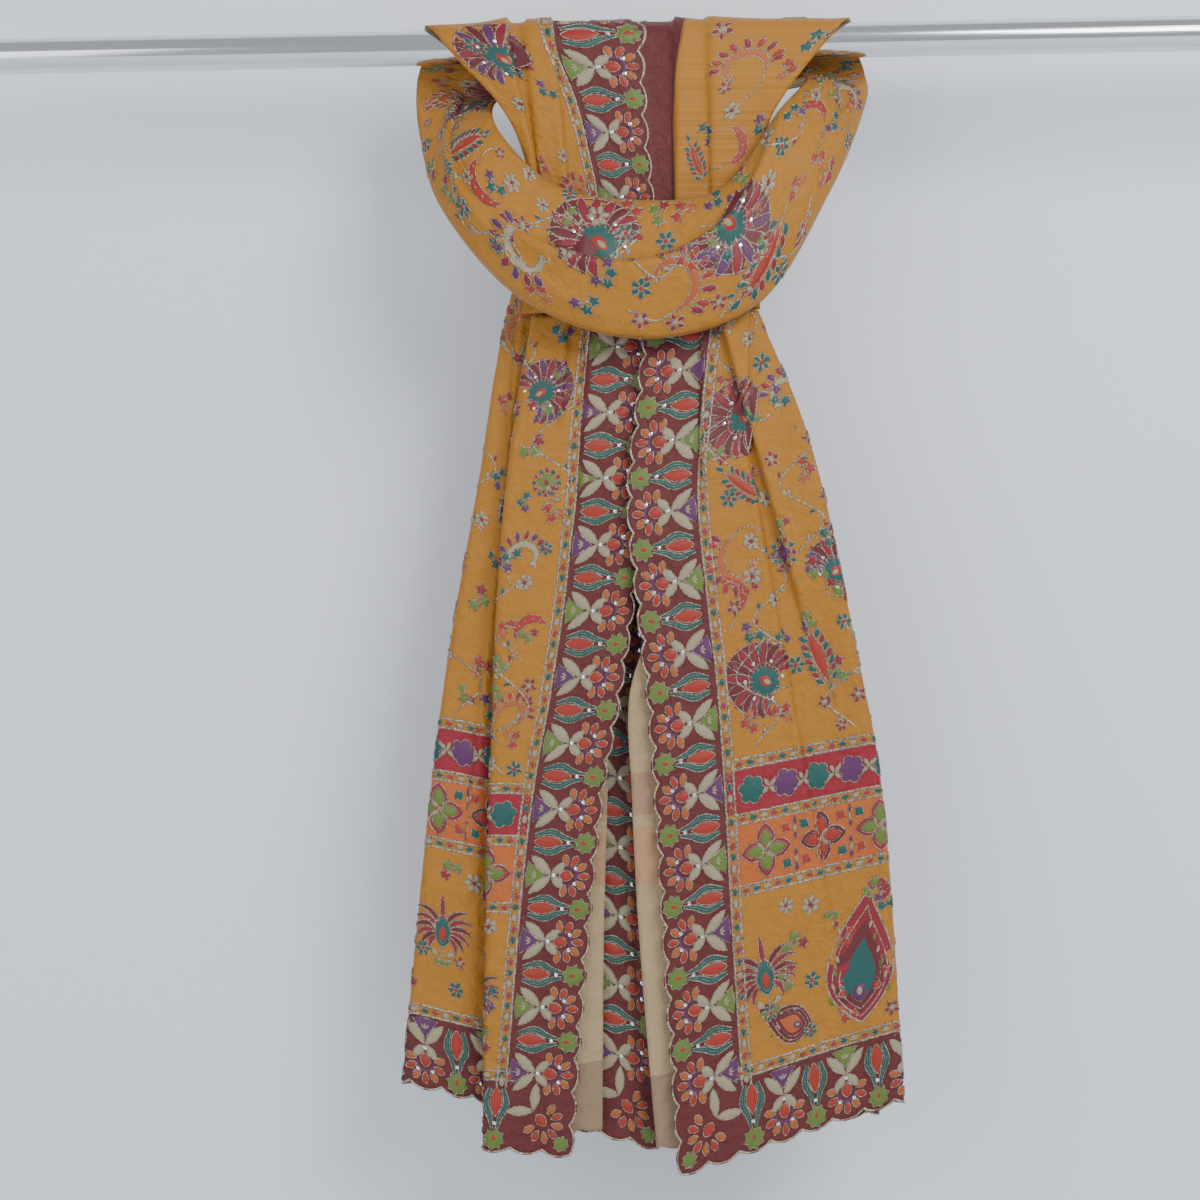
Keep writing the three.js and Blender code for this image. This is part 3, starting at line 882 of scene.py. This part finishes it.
def weave_group():
    """Crepe weave: a fine pebbled grain, short slubs, and soft puckers between the thread work.
    Gives a colour factor and a normal."""
    group = bpy.data.node_groups.new("Crepe weave", "ShaderNodeTree")
    takes = (("Cloth", "NodeSocketVector"), ("Grain", "NodeSocketFloat"), ("Pucker", "NodeSocketFloat"))
    for name, kind in takes:
        group.interface.new_socket(name, in_out="INPUT", socket_type=kind)
    group.interface.new_socket("Shade", in_out="OUTPUT", socket_type="NodeSocketFloat")
    group.interface.new_socket("Normal", in_out="OUTPUT", socket_type="NodeSocketVector")
    n = Nodes(group)
    source, result = n.add("NodeGroupInput"), n.add("NodeGroupOutput")
    place = source.outputs["Cloth"]
    pebble = n.add("ShaderNodeTexNoise", {"Vector": place, "Scale": 1500, "Detail": 2}).outputs[0]
    slub = n.add("ShaderNodeTexNoise", {"Vector": place, "Scale": 330, "Detail": 3}).outputs[0]
    puckers = n.add(
        "ShaderNodeTexNoise", {"Vector": place, "Scale": 95, "Detail": 2.5, "Roughness": 0.6}
    ).outputs[0]
    drape = n.add("ShaderNodeTexNoise", {"Vector": place, "Scale": 26, "Detail": 1}).outputs[0]
    grain = n.maths("ADD", pebble, n.maths("MULTIPLY", slub, 0.8))
    fine = n.maths("MULTIPLY", grain, source.outputs["Grain"])
    swell = n.maths("ADD", puckers, n.maths("MULTIPLY", drape, 1.5))
    soft = n.maths("MULTIPLY", swell, source.outputs["Pucker"])
    bump_fine = n.add("ShaderNodeBump", {"Height": fine, "Strength": 0.55, "Distance": 0.0006})
    bump = n.add(
        "ShaderNodeBump",
        {"Height": soft, "Strength": 0.85, "Distance": 0.0035, "Normal": bump_fine.outputs[0]},
    )
    shade = n.maths("ADD", n.maths("MULTIPLY", slub, 0.5), n.maths("MULTIPLY", puckers, 0.5))
    group.links.new(shade, result.inputs["Shade"])
    group.links.new(bump.outputs[0], result.inputs["Normal"])
    return group


WEAVE = weave_group()


def cloth_material(name, right_side):
    """Mustard crepe with its maroon border, orange stripe and red stripe, told apart by the cloth's
    own sizes. The wrong side is pale and dull."""
    made, shader, n = new_material(name, 0.62 if right_side else 0.85, Sheen_Weight=0.12, Sheen_Roughness=0.4)
    where = n.add("ShaderNodeUVMap", uv_map="Cloth").outputs[0]
    split = n.add("ShaderNodeSeparateXYZ", {0: where})
    u, v = split.outputs[0], split.outputs[1]
    weave = n.add("ShaderNodeGroup", node_tree=WEAVE)
    for key, value in (("Grain", 1.0 if right_side else 1.5), ("Pucker", 1.0)):
        weave.inputs[key].default_value = value
    n.tree.links.new(where, weave.inputs["Cloth"])

    def between(low, high):
        above = n.maths("GREATER_THAN", v, low * MM)
        return n.maths("MULTIPLY", above, n.maths("LESS_THAN", v, high * MM))

    def faded(colour, amount):
        pale = np.array([0.42, 0.33, 0.20])
        return tuple(np.array(colour[:3]) * (1 - amount) + pale * amount) + (1.0,)

    dulled = 0.0 if right_side else 0.8
    colour = n.mix(weave.outputs["Shade"], faded(dye(188, 116, 10), dulled), faded(dye(216, 148, 22), dulled))
    colour = n.mix(between(*STAR_STRIPE), colour, faded(ORANGE, dulled * 0.8))
    colour = n.mix(between(*ROSE_STRIPE), colour, faded(CRIMSON, dulled * 0.8))
    edge = n.maths("MAXIMUM", n.maths("LESS_THAN", u, BORDER * MM), n.maths("LESS_THAN", v, BORDER * MM))
    maroons = [faded(dye(*shade), dulled * 0.7) for shade in ((92, 20, 22), (130, 34, 32))]
    dark = n.mix(weave.outputs["Shade"], *maroons)
    colour = n.mix(edge, colour, dark)
    n.tree.links.new(colour, shader.inputs["Base Color"])
    n.tree.links.new(weave.outputs["Normal"], shader.inputs["Normal"])
    return made


def thread_material():
    """Filled embroidery: the thread's colour from the mesh, with short slanted stitches."""
    made, shader, n = new_material("silk thread", 0.5, Sheen_Weight=0.15, Sheen_Roughness=0.35)
    tint = n.add("ShaderNodeVertexColor", layer_name="thread_colour").outputs[0]
    place = n.add("ShaderNodeTexCoord").outputs["Object"]
    stitch = n.add("ShaderNodeTexNoise", {"Vector": place, "Scale": 900, "Detail": 2}).outputs[0]
    patch = n.add("ShaderNodeTexNoise", {"Vector": place, "Scale": 130, "Detail": 2}).outputs[0]
    share = n.maths("ADD", n.maths("MULTIPLY", stitch, 0.5), n.maths("MULTIPLY", patch, 0.4))
    darker = n.mix(0.35, tint, (0.0, 0.0, 0.0, 1.0))
    n.tree.links.new(n.mix(share, darker, tint), shader.inputs["Base Color"])
    bump = n.add("ShaderNodeBump", {"Height": stitch, "Strength": 0.6, "Distance": 0.0006})
    n.tree.links.new(bump.outputs[0], shader.inputs["Normal"])
    return made


def zari_material():
    """Metal thread: dull silver-gilt, spotted along the twist with painted glints and painted shade."""
    made, shader, n = new_material("metal thread", 0.42, Metallic=0.55)
    tint = n.add("ShaderNodeVertexColor", layer_name="thread_colour").outputs[0]
    place = n.add("ShaderNodeTexCoord").outputs["Object"]
    twist_and_glints = n.add("ShaderNodeTexNoise", {"Vector": place, "Scale": 620, "Detail": 2}).outputs[0]
    # The twist noise spots the base colour with painted glints (toward near-white) and painted shade (toward
    # near-black); the same noise also gives the thread's bump.
    spread = n.add("ShaderNodeValToRGB", {0: twist_and_glints})
    spread.color_ramp.elements[0].position, spread.color_ramp.elements[1].position = 0.38, 0.66
    dark = n.mix(0.62, tint, (0.05, 0.035, 0.03, 1.0))
    light = n.mix(0.35, tint, (0.9, 0.84, 0.74, 1.0))
    n.tree.links.new(n.mix(spread.outputs[0], dark, light), shader.inputs["Base Color"])
    bump = n.add("ShaderNodeBump", {"Height": twist_and_glints, "Strength": 0.9, "Distance": 0.0008})
    n.tree.links.new(bump.outputs[0], shader.inputs["Normal"])
    return made


RIGHT_SIDE = cloth_material("crepe right side", True)
WRONG_SIDE = cloth_material("crepe wrong side", False)
THREAD = thread_material()
METAL_THREAD = zari_material()
SEQUIN = new_material("sequin", 0.16, Metallic=1.0, Base_Color=(0.86, 0.86, 0.85, 1.0))[0]

# --------------------------------------------------------------------------- the cloth, made

ROW_STEP = 3.8
COLUMN_STEP = 3.8


def lattice(points, rows=170, columns=260):
    """A fine lattice of a form: row 0 is its top, and columns run along it."""
    a, b = np.meshgrid(np.linspace(0, 1, columns), np.linspace(0, 1, rows))
    return points(a, b)


def cloth(name, sheet, starts_at, scalloped, ground=None):
    """The sheet as an even grid of quads with its own u and v as a UV map, closed by Solidify. The
    free edge and the hem move in by the scallop's notch. ground gives the u that the dye follows."""
    across = int(sheet.widths.max() / COLUMN_STEP)
    along = int(sheet.length / ROW_STEP)
    s, v = np.meshgrid(np.linspace(0, 1, across + 1), np.linspace(0, sheet.length, along + 1))
    width = sheet.width_at(v.ravel()).reshape(v.shape)
    inset = notch(v) if scalloped else np.zeros_like(v)
    u = inset + s * (width - inset)
    if scalloped:
        v = v + notch(u) * np.clip(1 - v / 20, 0, 1)
    points = sheet.place(u.ravel(), v.ravel(), np.zeros(u.size))
    i, j = np.meshgrid(np.arange(along), np.arange(across), indexing="ij")
    first = (i * (across + 1) + j).ravel()
    faces = np.stack([first, first + 1, first + across + 2, first + across + 1], -1)
    corners = points[faces[0]]
    normal = np.cross(corners[1] - corners[0], corners[2] - corners[0])
    facing = sheet.place(u.ravel()[:1], v.ravel()[:1], np.ones(1)) - points[:1]
    if normal @ facing[0] < 0:
        faces = faces[:, ::-1]
    made = build_mesh(name, points, faces, RIGHT_SIDE)
    made.data.materials.append(WRONG_SIDE)
    layer = made.data.uv_layers.new(name="Cloth")
    dyed = u if ground is None else ground(u)
    sizes = np.stack([dyed.ravel(), v.ravel() + starts_at], -1) * MM
    layer.data.foreach_set("uv", sizes[faces].astype(np.float32).ravel())
    shell = made.modifiers.new("Thickness", "SOLIDIFY")
    shell.thickness = CLOTH_THICKNESS * MM
    shell.offset = 0
    shell.material_offset = 1
    shell.material_offset_rim = 0
    return made


def everywhere(u, v, sheet):
    """True where a size lies on the cloth, a little in from its ends."""
    return (u > 0.2) & (u < sheet.width_at(v) - 0.4) & (v > 0.2) & (v < sheet.length - 0.4)


def inside_border(u, v, sheet):
    return everywhere(u, v, sheet) & (u > BORDER - 1) & (v > BORDER - 1)


def work_edge(work, low, high, side_start=0.0):
    """The long border and its metal-thread band, repeated up the free edge."""
    for k, v in enumerate(np.arange(low, high, UNIT)):
        work.work(("border_a", "border_b")[k % 2], side_start, v + UNIT, -math.pi / 2)


def work_hem(work, width):
    """The same border along the hem, from a corner flower onward."""
    work.work("corner", 0, 0)
    for k, u in enumerate(np.arange(UNIT, width, UNIT)):
        work.work(("border_a", "border_b")[k % 2], u, 0)


def work_panel(work, width):
    """The end panel above the hem: bands, the orange stripe of stars and the red one of rosettes."""
    for level in (190, 243, TOP_BAND):
        for u in np.arange(66, width, UNIT):
            work.work("band", u, level)
    middle = sum(STAR_STRIPE) / 2
    for k, u in enumerate(np.arange(88, width, 48)):
        work.work(("quatrefoil", "red_quatrefoil")[k % 2], u, middle)
        work.work("stripe_filler", u + 24, middle)
    for u in np.arange(66, width, 56):
        work.work("rosettes", u, sum(ROSE_STRIPE) / 2)


def scatter(work, names, box, count, seed, spacing=20, scale=(0.7, 1.0)):
    """Small figures at spots that keep a distance from each other."""
    dice = np.random.default_rng(seed)
    spots = []
    for u, v, turn, size in dice.uniform(
        (box[0], box[1], 0, scale[0]), (box[2], box[3], 6.28, scale[1]), (count * 12, 4)
    ):
        near = any((u - p) ** 2 + (v - q) ** 2 < spacing**2 for p, q in spots)
        if not near and len(spots) < count:
            spots.append((u, v))
            work.work(names[len(spots) % len(names)], u, v, turn, size)


def finish_work(work, title):
    """Joins what was worked on one sheet into a mesh of each kind."""
    made = []
    kinds = (
        ("fill", THREAD, "embroidery"), ("zari", METAL_THREAD, "metal_thread"),
        ("sequin", SEQUIN, "metal_thread"),
    )
    for kind, material, slot in kinds:
        items = work.made[kind]
        if items:
            starts = np.cumsum([0] + [len(c) for c, _, _ in items[:-1]])
            corners = np.concatenate([c for c, _, _ in items])
            faces = np.concatenate([f + s for (_, f, _), s in zip(items, starts)])
            colours = np.concatenate([k for _, _, k in items])
            label = {"fill": "_embroidery", "zari": "_metal_thread", "sequin": "_sequins"}[kind]
            added = build_mesh(title + label, corners, faces, material, colours)
            made.append(added)
    return made


SMALL = ("flower", "sprig", "pale_flower", "red_sprig", "red_flower", "green_sprig")
FIELDS = {
    "right_end_front": (
        ("palmette", 96, 545, 1.3, 0.95), ("spray", 112, 480, 0.9, 0.8), ("cream_curl", 134, 560, 0.4, 0.9),
        ("curl", 88, 437, 2.5, 1), ("crescent", 72, 412, 0.6, 0.9), ("square", 128, 440, 0, 0.95),
        ("palmette", 98, 345, 1.0, 0.9), ("spray", 152, 330, 0.3, 1), ("curl", 80, 622, 1, 0.9),
        ("violet_palmette", 168, 420, -0.8, 0.8), ("cypress", 82, 125, 0.1, 1), ("paisley", 158, 72, 0, 1.15),
        ("low_paisley", 118, 82, 1.35, 0.6), ("violet_palmette", 226, 340, 0.6, 0.9),
        ("curl", 230, 480, 0, 1), ("paisley", 236, 76, 0, 1), ("cypress", 290, 125, 0, 1),
    ),
    "left_end_front": (
        ("curl", 84, 345, 0.5, 0.7), ("crescent", 80, 410, 1.0, 0.8), ("cream_curl", 92, 470, 0, 0.8),
        ("green_square", 82, 530, 0, 0.8), ("violet_palmette", 96, 600, 1, 0.8), ("cypress", 92, 120, 0, 0.9),
    ),
    "right_end_back": (
        ("palmette", 110, 400, 0, 1), ("curl", 150, 540, 0, 1), ("paisley", 120, 76, 0, 1),
        ("spray", 100, 660, 0, 1), ("cypress", 180, 125, 0, 1),
    ),
    "left_end_back": (
        ("violet_palmette", 100, 450, 0.4, 1), ("spray", 130, 340, 0.5, 0.9), ("curl", 100, 600, 0, 1),
        ("paisley", 120, 76, 0, 1), ("cypress", 180, 125, 0, 0.9), ("palmette", 120, 720, 0.5, 0.9),
    ),
}

shown, tail_sheets = {}, {}
for order, (node, spec) in enumerate(TAILS.items()):
    length = spec["rows"]["z"][0] - spec["hem"][1]
    form = lattice(lambda a, b: tail_points(spec, a, b), 240, 320)
    sheet = tail_sheets[node] = Sheet(form, length, 60)
    piece = cloth(node + "_cloth", sheet, 0, True)
    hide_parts(node)
    work = Needlework(sheet, everywhere)
    work_edge(work, UNIT, length)
    work_hem(work, sheet.widths.max())
    work.keep = inside_border
    work_panel(work, sheet.widths.max())
    for name, u, v, turn, size in FIELDS[node]:
        work.work(name, u, v, turn, size)
    for k, low in enumerate(np.arange(300, length - 60, 70)):
        side = 22 * (-1) ** k
        start = 84 + 30 * (k % 3)
        work.work(vine((0, 0), (side, 24), (-side / 2, 52), (side, 84)), start, low)
        work.work(vine((0, 0), (-side, 26), (side / 2, 50), (0, 80)), start + 84, low)
    scatter(work, SMALL, (74, 300, sheet.widths.max(), length), 130, 20 + order, 23)
    scatter(work, SMALL, (74, 74, sheet.widths.max(), 184), 40, 40 + order, 20)
    extras = finish_work(work, node)
    shown[node] = [piece, *extras]

collar_form = lattice(lambda a, b: collar_points(b, a), 360, 90)
collar_length = np.linalg.norm(np.diff(collar_form[:, 45], axis=0), axis=1).sum()
collar_sheet = Sheet(collar_form, collar_length, 45, anchored=False)
collar = cloth("collar_cloth", collar_sheet, 400, False, lambda u: u + 80)
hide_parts("collar_left", "collar_front", "collar_right")
work = Needlework(collar_sheet, everywhere)
for k, v in enumerate(np.linspace(60, collar_length - 50, 14)):
    name = ("curl", "palmette", "cream_curl", "crescent", "spray", "violet_palmette")[k % 6]
    work.work(name, (38, 66)[k % 2], v, 1.7 * k, 1.0)
for k, low in enumerate(np.arange(30, collar_length - 90, 62)):
    bend = 16 * (-1) ** k
    work.work(vine((0, 0), (bend, 22), (-bend / 2, 48), (bend, 76)), 22 + 26 * (k % 3), low)
scatter(work, SMALL, (6, 20, 100, collar_length - 20), 90, 60, 19)
shown["collar"] = [collar, *finish_work(work, "collar")]

# The rise is read from its scalloped edge, which shows over the border of the other bundle.
rise_sheet = Sheet(lattice(lambda a, b: rise_points(a, 1 - b), 220, 300), 268, 150, anchored=False)
rise_width = float(rise_sheet.widths[0])
RISE_EDGE = 0.53 * rise_width
UNDER_BORDER = 24


def rise_ground(u):
    """The border's maroon reaches left of the edge, and right of it as far as the next fold."""
    away = u - RISE_EDGE
    return np.where(away < UNDER_BORDER, np.abs(away), 80)


rise = cloth("rise_over_rail_cloth", rise_sheet, 400, False, rise_ground)
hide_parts("rise_over_rail")
work = Needlework(rise_sheet, everywhere)
for k, v in enumerate(np.arange(0, 268, UNIT)):
    work.work(("border_a", "border_b")[k % 2], RISE_EDGE, v, math.pi / 2)
for name, share, v, turn, size in (
    ("violet_palmette", 0.12, 200, 0.3, 0.8), ("curl", 0.82, 190, 0.6, 0.9), ("crescent", 0.86, 130, 0, 0.9),
    ("spray", 0.76, 100, 0.4, 0.7), ("curl", 0.2, 90, 0.2, 0.8), ("palmette", 0.86, 60, 0, 0.7),
):
    work.work(name, share * rise_width, v, turn, size)
scatter(work, SMALL, (6, 8, 0.24 * rise_width, 262), 14, 70, 22)
scatter(work, SMALL, (0.72 * rise_width, 8, rise_width - 6, 262), 16, 71, 22)
shown["rise"] = [rise, *finish_work(work, "rise_over_rail")]

# --------------------------------------------------------------------------- rail, room, camera

chrome = new_material("chrome rail", 0.12, Metallic=1.0, Base_Color=(0.72, 0.73, 0.75, 1.0))[0]
satin = new_material("satin cap", 0.32, Metallic=1.0, Base_Color=(0.6, 0.6, 0.62, 1.0))[0]
for node, finish in (("rail", chrome), ("rail_cap_left", satin), ("rail_cap_right", satin)):
    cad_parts[node].data.materials[0] = finish


def plain(name, size, place, turn, colour):
    """A flat panel of the room."""
    bpy.ops.mesh.primitive_plane_add(size=size, location=place, rotation=turn)
    panel = bpy.context.object
    panel.name = name
    panel.data.materials.append(new_material(name, 0.9, Base_Color=colour)[0])
    return panel


low, high = np.array(cad_box[0]), np.array(cad_box[1])
floor = plain("floor", 8, (0, 0, low[2] - 0.25), (0, 0, 0), (0.80, 0.82, 0.86, 1))
wall = plain("backdrop", 8, (0, high[1] + 0.09, 0), (math.pi / 2, 0, 0), (0.80, 0.84, 0.90, 1))


def lamp(name, power, size, place, aim):
    """A soft square lamp turned toward a point."""
    light = bpy.data.lights.new(name, "AREA")
    light.energy, light.size = power, size
    made = bpy.data.objects.new(name, light)
    bpy.context.scene.collection.objects.link(made)
    made.location = place
    made.rotation_euler = (Vector(aim) - Vector(place)).to_track_quat("-Z", "Y").to_euler()


lamp("key", 48, 1.2, (1.1, -1.9, 0.8), (0, 0, -0.4))
lamp("fill", 20, 1.8, (-1.5, -2.0, 0.0), (0, 0, -0.5))
world = bpy.data.worlds.new("room")
world.use_nodes = True
world.node_tree.nodes["Background"].inputs[0].default_value = (0.9, 0.94, 1.0, 1)
world.node_tree.nodes["Background"].inputs[1].default_value = 0.55
bpy.context.scene.world = world

eye = bpy.data.cameras.new("camera")
eye.lens = 97.5
camera = bpy.data.objects.new("camera", eye)
bpy.context.scene.collection.objects.link(camera)
roll = math.sqrt(1 - SWAY**2)
camera.matrix_world = Matrix(
    ((roll, SWAY, 0, -0.0407), (0, 0, -1, -2.6), (-SWAY, roll, 0, -0.444), (0, 0, 0, 1))
)
bpy.context.scene.camera = camera
